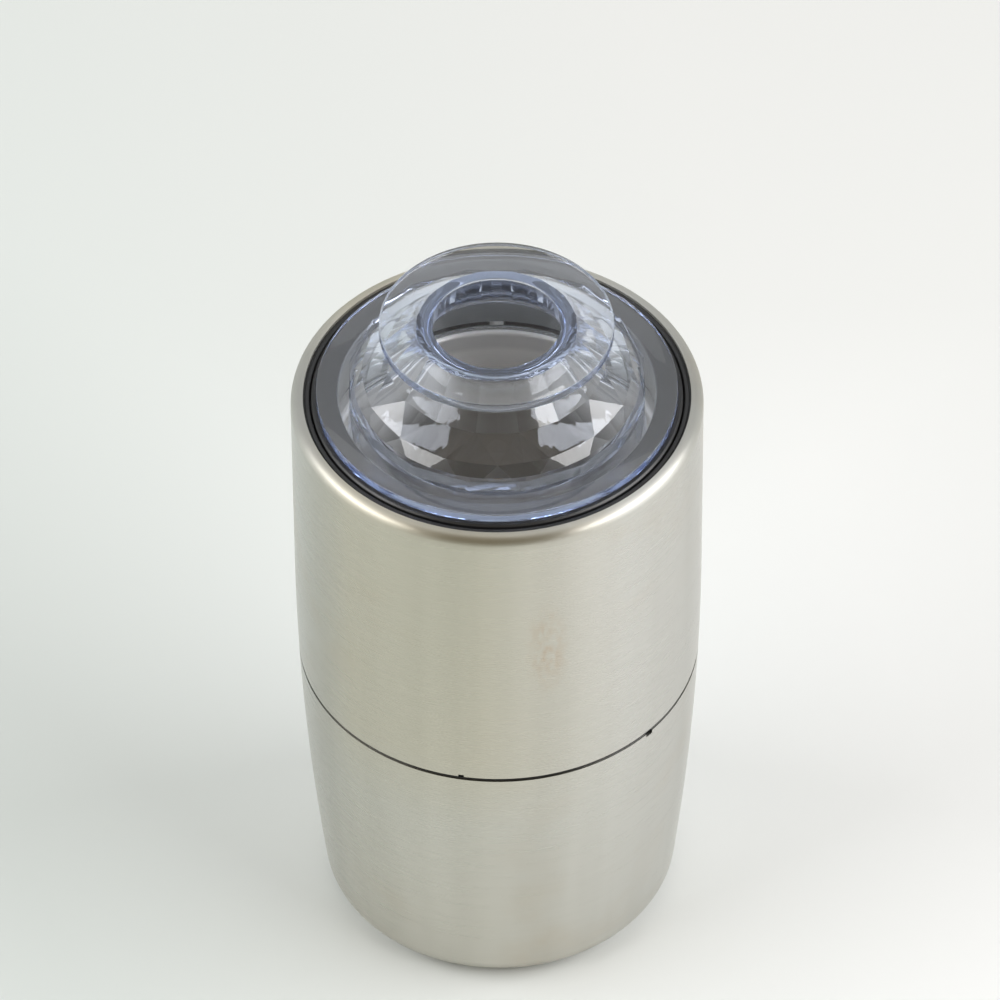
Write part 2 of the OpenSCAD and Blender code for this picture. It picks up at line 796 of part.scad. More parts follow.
// Outside of the dome, cut like a brilliant: small triangles and split tablets at the foot, a row of
// split triangles that point up and one that points down, then long split tablets up to the neck
module dome_solid() {
    top_z = neck_z + 0.4;
    knee_z = dome_z + 2.6;
    waist_z = dome_z + 6.9;
    knee_r = dome_d / 2 - 1.9;
    middle = cos(180 / facets) + 0.009;
    points = concat(
        dome_row(dome_d / 2, dome_z, 0.25),
        dome_row(dome_d / 2, dome_z, 0.5),
        dome_row(dome_d / 2, dome_z, 0.75),
        dome_row(knee_r, knee_z, 0),
        dome_row(knee_r * middle, knee_z, 0.5),
        dome_row(waist_d / 2, waist_z, 0.5),
        dome_row(waist_d / 2 * middle, waist_z, 0),
        dome_row(neck_d / 2, top_z, 0.5),
        dome_row(neck_d / 2 * middle, top_z, 0));
    // index of point k in a row; rows: 0 1 2 foot, 3 4 knee, 5 6 waist, 7 8 neck
    function at(row, k) = row * facets + (k + facets) % facets;
    sides = [for (k = [0:facets - 1]) each [
        [at(2, k - 1), at(3, k), at(0, k)],
        [at(0, k), at(3, k), at(4, k)],
        [at(0, k), at(4, k), at(1, k)],
        [at(4, k), at(3, k + 1), at(2, k)],
        [at(4, k), at(2, k), at(1, k)],
        [at(3, k), at(5, k), at(4, k)],
        [at(4, k), at(5, k), at(3, k + 1)],
        [at(3, k), at(6, k), at(5, k)],
        [at(3, k), at(5, k - 1), at(6, k)],
        [at(6, k), at(8, k), at(7, k), at(5, k)],
        [at(5, k - 1), at(7, k - 1), at(8, k), at(6, k)]
    ]];
    foot_cap = [[for (k = [0:facets - 1]) each [at(0, k), at(1, k), at(2, k)]]];
    neck_cap = [[for (k = [facets - 1:-1:0]) each [at(7, k), at(8, k)]]];
    polyhedron(points, concat(sides, foot_cap, neck_cap));
}

// Outside of the lid below and above the dome
module lid_discs() {
    edge = 0.3;
    rotate_extrude() polygon([
        [0, flange_z], [flange_d / 2 - edge, flange_z], [flange_d / 2, flange_z + edge],
        [flange_d / 2, girdle_z - edge], [flange_d / 2 - edge, girdle_z], [0, girdle_z]
    ]);
    ring(0, skirt_r, flange_z - skirt_depth, flange_z + 1);
    rotate_extrude() polygon([
        [0, neck_z], [disc_d / 2 - edge, neck_z], [disc_d / 2, neck_z + edge],
        [disc_d / 2, lid_top_z - edge], [disc_d / 2 - edge, lid_top_z], [0, lid_top_z]
    ]);
}

// The many-sided step that the dome rises from
module girdle() {
    translate([0, 0, girdle_z - 0.5]) linear_extrude(girdle_h + 0.5)
        polygon([for (k = [0:facets - 1]) let (a = (k + 0.5) * 360 / facets - 90)
            [girdle_r * cos(a), girdle_r * sin(a)]]);
}

// A smooth curve from a to b that heads for the corner between them
function bend(a, corner, b, n) =
    [for (i = [0:n]) let (t = i / n) (1 - t) * (1 - t) * a + 2 * t * (1 - t) * corner + t * t * b];

// The hollow inside: a straight skirt, then one smooth funnel that narrows up to the hole
module lid_hollow() {
    hole_r = hole_d / 2;
    skirt_foot_z = flange_z - skirt_depth;
    funnel_z = flange_z + funnel_foot;
    rotate_extrude() polygon(concat(
        [[0, skirt_foot_z - 1], [skirt_in_r, skirt_foot_z - 1]],
        bend([skirt_in_r, funnel_z], [hole_r, (funnel_z + neck_z) / 2], [hole_r, neck_z], 14),
        [[hole_r, lid_top_z + 1], [0, lid_top_z + 1]]));
}

module lid() {
    color([0.75, 0.82, 0.95, 0.4]) difference() {
        union() {
            lid_discs();
            girdle();
            dome_solid();
        }
        lid_hollow();
    }
}

base_shell();
base_core();
bottom_cover();
rubber_feet();
cover_screws();
cord_grommet();
upper_bracket();
lower_bracket();
shaft_bushes();
stator_core();
field_coils();
motor_screws();
spacer_sleeves();
motor_dampers();
brush_holders();
carbon_brushes();
micro_switch();
switch_spring();
switch_button();
rotor_shaft();
armature_core();
armature_winding();
commutator();
cooling_fan();
drive_coupling();
upper_shell();
rim_ring();
cup_carrier();
cup_screws();
grinding_cup();
blade_hub();
hub_nut();
shaft_seal();
return_springs();
blade();
blade_shaft();
blade_nut();
driven_coupling();
press_ring();
push_rod();
lid();
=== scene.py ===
import json
import math

import bmesh
import bpy
from mathutils import Matrix, Vector


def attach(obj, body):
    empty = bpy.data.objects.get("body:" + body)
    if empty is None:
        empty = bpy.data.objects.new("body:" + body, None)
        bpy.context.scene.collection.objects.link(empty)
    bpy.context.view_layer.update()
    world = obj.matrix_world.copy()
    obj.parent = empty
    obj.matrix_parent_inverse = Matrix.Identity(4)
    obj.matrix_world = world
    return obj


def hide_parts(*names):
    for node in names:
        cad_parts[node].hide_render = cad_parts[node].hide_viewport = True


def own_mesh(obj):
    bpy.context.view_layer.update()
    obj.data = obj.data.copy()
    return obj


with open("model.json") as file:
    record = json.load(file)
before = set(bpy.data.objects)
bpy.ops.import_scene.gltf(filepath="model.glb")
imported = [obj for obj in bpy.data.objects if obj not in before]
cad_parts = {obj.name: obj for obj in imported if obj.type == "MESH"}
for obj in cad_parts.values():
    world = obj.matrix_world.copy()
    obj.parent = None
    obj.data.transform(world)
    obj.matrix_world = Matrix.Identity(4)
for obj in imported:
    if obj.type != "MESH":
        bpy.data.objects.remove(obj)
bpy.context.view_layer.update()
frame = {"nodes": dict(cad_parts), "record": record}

MM = 0.001

# ---------------------------------------------------------------- sizes, in millimetres
# the steel shells: profile from the foot to the rolled rim
BODY_R = 50.0
FOOT_R = 44.2
FOOT_Z = 1.2
FOOT_ROUND = 6.5
STRAIGHT_Z = 108.0
RIM_Z = 162.5
RIM_ROUND = 2.4
SHEET = 0.8
SEAM_LOW = 78.45
SEAM_HIGH = 79.55
FOOT_TILT = math.degrees(math.atan(2 * (BODY_R - FOOT_R) / (STRAIGHT_Z - FOOT_Z - FOOT_ROUND)))
ROUND_Z = FOOT_Z + FOOT_ROUND * (1 - math.sin(math.radians(FOOT_TILT)))
FOOT_ARC_R = FOOT_R - FOOT_ROUND * math.cos(math.radians(FOOT_TILT))
LIP_R = FOOT_ARC_R - 0.5
RIM_LIP_R = BODY_R - 3
SHELL_STEPS = 240
INLET_R, INLET_Z = 5.2, 16

# the lid, from the flange up to the disc, then its hollow
FLANGE_R = 43.75
FLANGE_Z = 162.6
GIRDLE_Z = 165.0
GIRDLE_R = 36.3
DOME_Z = 168.2
DOME_R = 34.7
NECK_R = 18.7
NECK_Z = 184.7
DISC_R = 28.3
DISC_Z = 184.1
LID_TOP = 186.5
HOLE_R = 15.6
SKIRT_R = 35.8
SKIRT_Z = 152.2
WALL = 2.4
FACETS = 16
KNEE_R, KNEE_H = 32.8, 2.6
WAIST_R, WAIST_H = 26.5, 6.9
RIDGE = 0.009
FUNNEL_Z = 162.2
FUNNEL_CORNER = (17.0, 174.6)
FUNNEL_TOP = 182.6
LID_STEPS = 192
OVERLAP = 0.4

# the springs: the circle that they stand on, and their ends at rest
TRACK_R = 41.8
SPRING_LOW, SPRING_HIGH = 147.4, 160.2
SWITCH_LOW, SWITCH_HIGH = 63.8, 69.4


# ---------------------------------------------------------------- mesh helpers
def arc(cx, cy, r, a0, a1, n):
    """Points on an arc from angle a0 to a1, in degrees."""
    return [(cx + r * math.cos(math.radians(a0 + (a1 - a0) * i / n)),
             cy + r * math.sin(math.radians(a0 + (a1 - a0) * i / n))) for i in range(n + 1)]


def add_object(name, bm, sharp):
    """A mesh object in metres from a bmesh in millimetres, smooth apart from edges over `sharp` degrees."""
    bmesh.ops.scale(bm, vec=(MM, MM, MM), verts=bm.verts)
    bmesh.ops.remove_doubles(bm, verts=bm.verts, dist=1e-6)
    bmesh.ops.recalc_face_normals(bm, faces=bm.faces)
    mesh = bpy.data.meshes.new(name)
    bm.to_mesh(mesh)
    bm.free()
    mesh.polygons.foreach_set("use_smooth", [True] * len(mesh.polygons))
    mesh.set_sharp_from_angle(angle=math.radians(sharp))
    mesh.update()
    obj = bpy.data.objects.new(name, mesh)
    bpy.context.scene.collection.objects.link(obj)
    return obj


def lathe(profile, steps):
    """A closed profile of (radius, height) turned round the axis."""
    bm = bmesh.new()
    rings = []
    for i in range(steps):
        a = 2 * math.pi * i / steps
        c, s = math.cos(a), math.sin(a)
        rings.append([bm.verts.new((r * c, r * s, z)) for r, z in profile])
    n = len(profile)
    for i in range(steps):
        one, two = rings[i], rings[(i + 1) % steps]
        for j in range(n):
            k = (j + 1) % n
            bm.faces.new((one[j], two[j], two[k], one[k]))
    bmesh.ops.remove_doubles(bm, verts=bm.verts, dist=1e-4)
    bmesh.ops.dissolve_degenerate(bm, edges=bm.edges, dist=1e-4)
    bmesh.ops.recalc_face_normals(bm, faces=bm.faces)
    return bm


def temp_object(bm):
    """A throwaway object that a boolean works on."""
    mesh = bpy.data.meshes.new("tool")
    bmesh.ops.recalc_face_normals(bm, faces=bm.faces)
    bm.to_mesh(mesh)
    bm.free()
    obj = bpy.data.objects.new("tool", mesh)
    bpy.context.scene.collection.objects.link(obj)
    return obj


def box_mesh(lo, hi, turn):
    """A box between two corners, turned round the axis by some degrees."""
    bm = bmesh.new()
    bmesh.ops.create_cube(bm, size=1)
    size = [h - l for l, h in zip(lo, hi)]
    mid = [(h + l) / 2 for l, h in zip(lo, hi)]
    bmesh.ops.scale(bm, vec=size, verts=bm.verts)
    bmesh.ops.translate(bm, vec=mid, verts=bm.verts)
    matrix = Matrix.Rotation(math.radians(turn), 3, "Z")
    bmesh.ops.rotate(bm, cent=(0, 0, 0), matrix=matrix, verts=bm.verts)
    return bm


def combine(base, steps):
    """Applies exact booleans: steps is a list of (operation, bmesh). All in millimetres."""
    obj = temp_object(base)
    for operation, bm in steps:
        tool = temp_object(bm)
        mod = obj.modifiers.new("cut", "BOOLEAN")
        mod.operation = operation
        mod.solver = "EXACT"
        mod.object = tool
        bpy.context.view_layer.update()
        graph = bpy.context.evaluated_depsgraph_get()
        done = bpy.data.meshes.new_from_object(obj.evaluated_get(graph))
        obj.modifiers.clear()
        old = obj.data
        obj.data = done
        bpy.data.meshes.remove(old)
        mesh = tool.data
        bpy.data.objects.remove(tool)
        bpy.data.meshes.remove(mesh)
    out = bmesh.new()
    out.from_mesh(obj.data)
    mesh = obj.data
    bpy.data.objects.remove(obj)
    bpy.data.meshes.remove(mesh)
    return out


# ---------------------------------------------------------------- material helpers
class Maker:
    """A node material with a Principled shader, and short calls for the nodes that feed it."""

    def __init__(self, name):
        self.mat = bpy.data.materials.new(name)
        self.mat.use_nodes = True
        self.tree = self.mat.node_tree
        self.shader = self.tree.nodes["Principled BSDF"]
        self.out = self.tree.nodes["Material Output"]
        self.place = self.node("ShaderNodeTexCoord").outputs["Object"]

    def node(self, kind, **values):
        n = self.tree.nodes.new(kind)
        for key, value in values.items():
            setattr(n, key, value)
        return n

    def link(self, a, b):
        self.tree.links.new(a, b)

    def axes(self):
        """The place on the object, as its x, y and z in metres."""
        n = self.node("ShaderNodeSeparateXYZ")
        self.link(self.place, n.inputs[0])
        return [n.outputs[axis] for axis in "XYZ"]

    def scaled(self, x, y, z):
        """The place on the object, stretched along each axis."""
        m = self.node("ShaderNodeMapping")
        m.inputs["Scale"].default_value = (x, y, z)
        self.link(self.place, m.inputs["Vector"])
        return m.outputs["Vector"]

    def noise(self, scale=1.0, detail=3.0, rough=0.5, vector=None, distortion=0.0):
        n = self.node("ShaderNodeTexNoise")
        n.inputs["Scale"].default_value = scale
        n.inputs["Detail"].default_value = detail
        n.inputs["Roughness"].default_value = rough
        n.inputs["Distortion"].default_value = distortion
        self.link(vector or self.place, n.inputs["Vector"])
        return n.outputs["Fac"]

    def span(self, value, low, high, out_low, out_high):
        """A value from low to high, brought to out_low to out_high and held there outside."""
        m = self.node("ShaderNodeMapRange")
        ends = {"From Min": low, "From Max": high, "To Min": out_low, "To Max": out_high}
        for key, v in ends.items():
            m.inputs[key].default_value = v
        self.link(value, m.inputs["Value"])
        return m.outputs["Result"]

    def math(self, operation, a, b):
        m = self.node("ShaderNodeMath", operation=operation)
        for socket, v in zip(m.inputs, (a, b)):
            if isinstance(v, (int, float)):
                socket.default_value = v
            else:
                self.link(v, socket)
        return m.outputs[0]

    def mix(self, factor, a, b):
        """Colour a at factor 0, colour b at factor 1."""
        m = self.node("ShaderNodeMix", data_type="RGBA")
        self.link(factor, m.inputs[0])
        for socket, v in zip((m.inputs[6], m.inputs[7]), (a, b)):
            if isinstance(v, tuple):
                socket.default_value = (*v, 1)
            else:
                self.link(v, socket)
        return m.outputs[2]

    def times(self, a, b):
        """Two colours multiplied."""
        m = self.node("ShaderNodeMix", data_type="RGBA", blend_type="MULTIPLY")
        m.inputs[0].default_value = 1.0
        self.link(a, m.inputs[6])
        self.link(b, m.inputs[7])
        return m.outputs[2]

    def bump(self, height, strength, distance):
        b = self.node("ShaderNodeBump")
        b.inputs["Strength"].default_value = strength
        b.inputs["Distance"].default_value = distance
        self.link(height, b.inputs["Height"])
        return b.outputs["Normal"]

    def set(self, **values):
        """Sets inputs of the shader to a number, a colour or another node's output."""
        for key, v in values.items():
            socket = self.shader.inputs[key.replace("_", " ")]
            if hasattr(v, "is_linked"):
                self.link(v, socket)
            elif isinstance(v, tuple):
                socket.default_value = (*v, 1)
            else:
                socket.default_value = v


def moulded(name, dark, light, rough, grain=9000.0, depth=0.00004, inner_grey=None, inner_grey_r=0.0):
    """Moulded plastic or rubber: fine grain, a slow change of tone, rubbed patches. On the faces inside the
    given radius it turns, in patches, to the given lighter grey."""
    m = Maker(name)
    tone = m.mix(m.span(m.noise(45, 4, 0.55), 0.3, 0.7, 0, 1), dark, light)
    if inner_grey:
        x, y, _ = m.axes()
        squares = m.math("ADD", m.math("MULTIPLY", x, x), m.math("MULTIPLY", y, y))
        inside = m.span(m.math("POWER", squares, 0.5), inner_grey_r + 0.0001, inner_grey_r, 0, 1)
        cover = m.span(m.noise(90, 4, 0.6), 0.2, 0.6, 0.6, 1)
        tone = m.mix(m.math("MULTIPLY", inside, cover), tone, inner_grey)
    worn = m.span(m.noise(120, 5, 0.6), 0.35, 0.75, rough * 0.82, min(rough * 1.2, 1))
    m.set(Base_Color=tone, Roughness=worn, Normal=m.bump(m.noise(grain, 2, 0.6), 0.35, depth))
    return m.mat


def plain_metal(name, dark, light, rough, lines=(300, 300, 2500), depth=0.00001):
    """Turned, drawn or plated metal with fine lines."""
    m = Maker(name)
    fine = m.noise(1, 4, 0.6, m.scaled(*lines))
    tone = m.mix(m.span(m.noise(70, 5, 0.6), 0.3, 0.7, 0, 1), dark, light)
    gloss = m.span(fine, 0.3, 0.7, rough * 0.8, rough * 1.25)
    m.set(Metallic=1.0, Base_Color=tone, Roughness=gloss, Normal=m.bump(fine, 0.3, depth))
    return m.mat


def brushed(name, tone, warm, rough, brush_z, anisotropy, smudges=1.0):
    """Steel brushed round the axis, so that highlights run up and down, with handling marks.
    Returns the maker, so that a piece can change its colour or its gloss."""
    m = Maker(name)
    coarse = m.noise(1, 3, 0.6, m.scaled(28, 28, 700))
    fine = m.noise(1, 3, 0.7, m.scaled(45, 45, brush_z))
    brush = m.math("ADD", m.math("MULTIPLY", coarse, 0.3), m.math("MULTIPLY", fine, 0.7))
    cloud = m.noise(17, 4, 0.55, distortion=0.4)
    spots = m.noise(55, 3, 0.5)
    marks = m.math("MULTIPLY", m.span(cloud, 0.5, 0.72, 0, 1), m.span(spots, 0.42, 0.68, 0, smudges))
    dark, light = tuple(c * 0.975 for c in tone), tuple(min(1, c * 1.02) for c in tone)
    m.colour = m.mix(marks, m.mix(m.span(brush, 0.35, 0.65, 0, 1), dark, light), warm)
    m.gloss = m.math("ADD", m.span(brush, 0.3, 0.7, rough * 0.88, rough * 1.12),
                     m.span(m.noise(9, 3, 0.5), 0.3, 0.7, -0.02, 0.03))
    turn = m.node("ShaderNodeTangent", direction_type="RADIAL", axis="Z")
    m.set(Metallic=1.0, Base_Color=m.colour, Roughness=m.gloss, Anisotropic=anisotropy,
          Anisotropic_Rotation=0.25, Normal=m.bump(brush, 0.07, 0.00003))
    m.link(turn.outputs[0], m.shader.inputs["Tangent"])
    m.x, _, m.z = m.axes()
    return m


# heights and a radius where a surface changes, in metres
RIM_DULL = (0.1585, 0.161)
CUP_DARKER_BELOW = (0.137, 0.114)
CUP_RIM = (0.142, 0.1435)
INNER_GREY_R = 0.0386
# the rubbed mark: its middle in metres, and the scale of each axis that makes it a ball of radius 1
RUB_PLACE = (0.0117, -0.0486, 0.124)
RUB_STRETCH = (170, 40, 60)


def shell_steel(name):
    """The two shells: painted reflections in soft upright stripes, a painted warm, darker reflection on the
    left half, one rubbed brown mark right of the middle, a duller rolled rim."""
    m = brushed(name, (0.6, 0.594, 0.558), (0.55, 0.5, 0.42), 0.28, 5200, 0.75, 0.7)
    # painted reflections: soft upright stripes that make the steel's colour a little lighter or darker
    painted_reflection_bands = m.noise(1, 2, 0.5, m.scaled(70, 70, 1.2))
    tone = m.mix(m.span(painted_reflection_bands, 0.38, 0.62, 0, 1), (0.94, 0.94, 0.935), (1, 1, 1))
    # painted reflection: a warmer, darker tint over the left half, none at the far left edge, weaker low down
    left = m.math("MULTIPLY", m.span(m.x, 0.032, -0.004, 0, 1), m.span(m.z, 0.06, 0.085, 0.4, 1))
    left = m.math("MULTIPLY", left, m.span(m.x, -0.048, -0.036, 0, 1))
    painted_warm_reflection = m.mix(left, (1, 1, 1), (0.97, 0.925, 0.83))
    off = m.node("ShaderNodeVectorMath", operation="SUBTRACT")
    off.inputs[1].default_value = RUB_PLACE
    m.link(m.place, off.inputs[0])
    size = m.node("ShaderNodeVectorMath", operation="MULTIPLY")
    size.inputs[1].default_value = RUB_STRETCH
    m.link(off.outputs["Vector"], size.inputs[0])
    away = m.node("ShaderNodeVectorMath", operation="LENGTH")
    m.link(size.outputs["Vector"], away.inputs[0])
    rub = m.math("MULTIPLY", m.span(away.outputs["Value"], 0.2, 1, 0.6, 0),
                 m.span(m.noise(1, 4, 0.6, m.scaled(700, 700, 240)), 0.4, 0.65, 0, 1))
    # the steel's colour with the painted reflection stripes and the painted warm reflection on the left
    colour = m.times(m.times(m.colour, tone), painted_warm_reflection)
    rolled = m.math("ADD", m.gloss, m.span(m.z, *RIM_DULL, 0, 0.16))
    m.set(Base_Color=m.mix(rub, colour, (0.5, 0.38, 0.27)), Roughness=rolled)
    return m.mat


def cup_steel(name):
    """The grinding cup: bright walls with a dull film, darker and browner towards the floor, grey at the rim.
    """
    m = brushed(name, (0.88, 0.87, 0.85), (0.7, 0.66, 0.6), 0.34, 4200, 0.5)
    # darker and browner towards the floor of the cup
    colour = m.mix(m.span(m.z, *CUP_DARKER_BELOW, 0, 1), m.colour, (0.13, 0.108, 0.085))
    colour = m.mix(m.span(m.z, *CUP_RIM, 0, 0.35), colour, (0.4, 0.4, 0.4))
    m.set(Base_Color=colour, Metallic=0.65)
    return m.mat


def clear(name):
    """Clear moulded plastic, faintly blue, with a few fine flow lines and handling marks."""
    m = Maker(name)
    flow = m.noise(1, 3, 0.5, m.scaled(60, 60, 220), 0.6)
    haze = m.span(m.noise(130, 5, 0.6), 0.45, 0.8, 0.0, 0.05)
    m.set(Base_Color=(0.985, 0.992, 1.0), Roughness=haze, IOR=1.57, Normal=m.bump(flow, 0.05, 0.00008),
          Transmission_Weight=0.98)
    deep = m.node("ShaderNodeVolumeAbsorption")
    deep.inputs["Color"].default_value = (0.4, 0.55, 0.86, 1)
    deep.inputs["Density"].default_value = 26.0
    m.link(deep.outputs[0], m.out.inputs["Volume"])
    # the lamps light what is under the lid: shadow rays pass the plastic, a little dimmed at each face
    bare = m.node("ShaderNodeBsdfTransparent")
    bare.inputs["Color"].default_value = (0.88, 0.87, 0.85, 1)
    blend = m.node("ShaderNodeMixShader")
    m.link(m.node("ShaderNodeLightPath").outputs["Is Shadow Ray"], blend.inputs[0])
    m.link(m.shader.outputs[0], blend.inputs[1])
    m.link(bare.outputs[0], blend.inputs[2])
    m.link(blend.outputs[0], m.out.inputs["Surface"])
    return m.mat


# ---------------------------------------------------------------- materials
STEEL = shell_steel("steel_brushed")
CUP_STEEL = cup_steel("steel_cup")
BLADE_STEEL = plain_metal("steel_blade", (0.6, 0.6, 0.6), (0.72, 0.72, 0.72), 0.2, (1600, 200, 200))
SCREW_STEEL = plain_metal("steel_plated", (0.55, 0.55, 0.56), (0.68, 0.68, 0.69), 0.28)
CORE_STEEL = plain_metal("steel_sheets", (0.16, 0.16, 0.17), (0.34, 0.34, 0.35), 0.45, (60, 60, 2000), 0.0002)
CAST = plain_metal("aluminium_cast", (0.48, 0.48, 0.49), (0.62, 0.62, 0.63), 0.5, (1800, 1800, 1800), 0.00008)
BRONZE = plain_metal("bronze_turned", (0.5, 0.33, 0.16), (0.68, 0.48, 0.27), 0.3)
COPPER = plain_metal("copper_wire", (0.5, 0.19, 0.08), (0.72, 0.33, 0.17), 0.3, (900, 900, 900), 0.0002)
BLACK_TONES = ((0.012, 0.012, 0.013), (0.024, 0.024, 0.026))
BLACK = moulded("plastic_black", *BLACK_TONES, 0.38)
# black plastic that turns, in patches, to a lighter grey on the faces inside the given radius
BLACK_GREY_INSIDE = moulded("plastic_black_grey_inside", *BLACK_TONES, 0.38, inner_grey=(0.17, 0.172, 0.165), inner_grey_r=INNER_GREY_R)
SWITCH = moulded("plastic_switch", (0.03, 0.03, 0.032), (0.055, 0.055, 0.06), 0.5)
CARBON = moulded("carbon_pressed", (0.02, 0.02, 0.021), (0.045, 0.045, 0.047), 0.7, 5000, 0.0001)
RED = moulded("plastic_red", (0.32, 0.012, 0.012), (0.44, 0.022, 0.02), 0.32)
WHITE = moulded("plastic_white", (0.66, 0.65, 0.6), (0.78, 0.77, 0.73), 0.35)
RUBBER = moulded("rubber_black", (0.016, 0.016, 0.016), (0.035, 0.035, 0.035), 0.75, 4000, 0.0001)
CLEAR = clear("plastic_clear")

BY_SLOT = {
    "brushed_steel": STEEL, "cup_steel": CUP_STEEL, "screw_steel": SCREW_STEEL, "core_steel": CORE_STEEL,
    "cast_aluminium": CAST, "bronze": BRONZE, "copper": COPPER, "black_plastic": BLACK,
    "switch_plastic": SWITCH, "carbon": CARBON, "red_plastic": RED, "white_plastic": WHITE,
    "black_rubber": RUBBER, "clear_plastic": CLEAR,
}
for part in frame["record"]["subparts"]:
    obj = frame["nodes"][part["node"]]
    obj.data.materials.clear()
    obj.data.materials.append(BY_SLOT[part["material_slot"]])
frame["nodes"]["blade"].data.materials[0] = BLADE_STEEL
frame["nodes"]["press_ring"].data.materials[0] = BLACK_GREY_INSIDE
frame["nodes"]["cup_carrier"].data.materials[0] = BLACK_GREY_INSIDE


def dress(obj, material, body, slot, *nodes):
    """Gives a piece its material and its body, and hides the CAD nodes it stands for."""
    obj.data.materials.clear()
    obj.data.materials.append(material)
    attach(obj, body)
    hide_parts(*nodes)


# ---------------------------------------------------------------- steel shells
def barrel_r(z):
    """The outer radius at a height: straight above, drawn in towards the foot."""
    if z >= STRAIGHT_Z:
        return BODY_R
    return BODY_R - (BODY_R - FOOT_R) * ((STRAIGHT_Z - z) / (STRAIGHT_Z - ROUND_Z)) ** 2


def wall(z0, z1, inset, n):
    """Points on the barrel's outline from z0 to z1, moved inwards by inset."""
    return [(barrel_r(z0 + (z1 - z0) * i / n) - inset, z0 + (z1 - z0) * i / n) for i in range(n + 1)]


def base_path(inset):
    """The lower shell's outline, from the seam down and in under the foot."""
    return (wall(SEAM_LOW, ROUND_Z, inset, 28)
            + arc(FOOT_ARC_R, FOOT_Z + FOOT_ROUND, FOOT_ROUND - inset, -FOOT_TILT - 4, -90, 16)
            + [(LIP_R, FOOT_Z + inset)])


def upper_path(inset):
    """The upper shell's outline, from the seam up and in over the rim."""
    return (wall(SEAM_HIGH, STRAIGHT_Z, inset, 12)
            + arc(BODY_R - RIM_ROUND, RIM_Z - RIM_ROUND, RIM_ROUND - inset, 0, 90, 14)
            + [(RIM_LIP_R, RIM_Z - inset)])


def bore_mesh(r, y0, y1, z):
    """A cylinder along Y."""
    bm = bmesh.new()
    bmesh.ops.create_cone(bm, cap_ends=True, segments=64, radius1=r, radius2=r, depth=y1 - y0)
    matrix = Matrix.Rotation(math.radians(90), 3, "X")
    bmesh.ops.rotate(bm, cent=(0, 0, 0), matrix=matrix, verts=bm.verts)
    bmesh.ops.translate(bm, vec=(0, (y0 + y1) / 2, z), verts=bm.verts)
    return bm


def notch(angle, width, depth, z):
    """A box that cuts a notch into the edge of a shell at z, at an angle in degrees from the front."""
    return box_mesh((-width / 2, -BODY_R - 1, z - depth), (width / 2, -BODY_R + 3, z + depth), angle)


lower = combine(lathe(base_path(0) + base_path(SHEET)[::-1], SHELL_STEPS), [
    ("DIFFERENCE", notch(angle=48, width=2.2, depth=1, z=SEAM_LOW)),
    ("DIFFERENCE", bore_mesh(INLET_R, BODY_R - 20, BODY_R + 5, INLET_Z)),
])
dress(add_object("shell_lower", lower, 25), STEEL, "base", "brushed_steel", "base_shell")

upper = combine(lathe(upper_path(0) + upper_path(SHEET)[::-1], SHELL_STEPS), [
    ("DIFFERENCE", notch(angle=-11, width=1.4, depth=0.6, z=SEAM_HIGH)),
])
dress(add_object("shell_upper", upper, 25), STEEL, "cup_unit", "brushed_steel", "upper_shell")


# ---------------------------------------------------------------- clear lid
def dome_row(r, h, shift):
    """One corner a facet, at a height above the dome's foot, turned by a share of a facet."""
    angles = [math.radians((k + shift) * 360 / FACETS - 90) for k in range(FACETS)]
    return [(r * math.cos(a), r * math.sin(a), DOME_Z + h) for a in angles]


def dome_mesh():
    """The outside of the dome: small triangles and split tablets at the foot, a row of split triangles
    that point up and one that points down, then long split tablets up to the neck."""
    middle = math.cos(math.pi / FACETS) + RIDGE
    top = NECK_Z - DOME_Z + OVERLAP
    foot = [dome_row(DOME_R, 0, shift) for shift in (0.25, 0.5, 0.75)]
    rows = foot + [
        dome_row(KNEE_R, KNEE_H, 0), dome_row(KNEE_R * middle, KNEE_H, 0.5),
        dome_row(WAIST_R, WAIST_H, 0.5), dome_row(WAIST_R * middle, WAIST_H, 0),
        dome_row(NECK_R, top, 0.5), dome_row(NECK_R * middle, top, 0),
    ]
    bm = bmesh.new()
    v = [[bm.verts.new(p) for p in row] for row in rows]
    n = FACETS

    def at(row, k):
        return v[row][k % n]

    for k in range(n):
        for face in (
            (at(2, k - 1), at(3, k), at(0, k)),
            (at(0, k), at(3, k), at(4, k)), (at(0, k), at(4, k), at(1, k)),
            (at(4, k), at(3, k + 1), at(2, k)), (at(4, k), at(2, k), at(1, k)),
            (at(3, k), at(5, k), at(4, k)), (at(4, k), at(5, k), at(3, k + 1)),
            (at(3, k), at(6, k), at(5, k)), (at(3, k), at(5, k - 1), at(6, k)),
            (at(6, k), at(8, k), at(7, k), at(5, k)), (at(5, k - 1), at(7, k - 1), at(8, k), at(6, k)),
        ):
            bm.faces.new(face)
    rim = [at(row, k) for k in range(n) for row in (0, 1, 2)]
    under = [bm.verts.new((p.co.x, p.co.y, DOME_Z - OVERLAP)) for p in rim]
    m = len(rim)
    for i in range(m):
        bm.faces.new((rim[i], rim[(i + 1) % m], under[(i + 1) % m], under[i]))
    bm.faces.new(under[::-1])
    bm.faces.new([at(row, k) for k in range(n) for row in (8, 7)])
    bmesh.ops.recalc_face_normals(bm, faces=bm.faces)
    return bm


def prism(r, z0, z1, sides, shift):
    """A prism with its corners on radius r, turned by a share of a side."""
    bm = bmesh.new()
    angles = [math.radians((k + shift) * 360 / sides - 90) for k in range(sides)]
    low = [bm.verts.new((r * math.cos(a), r * math.sin(a), z0)) for a in angles]
    high = [bm.verts.new((r * math.cos(a), r * math.sin(a), z1)) for a in angles]
    bm.faces.new(low[::-1])
    bm.faces.new(high)
    for k in range(sides):
        j = (k + 1) % sides
        bm.faces.new((low[k], low[j], high[j], high[k]))
    return bm


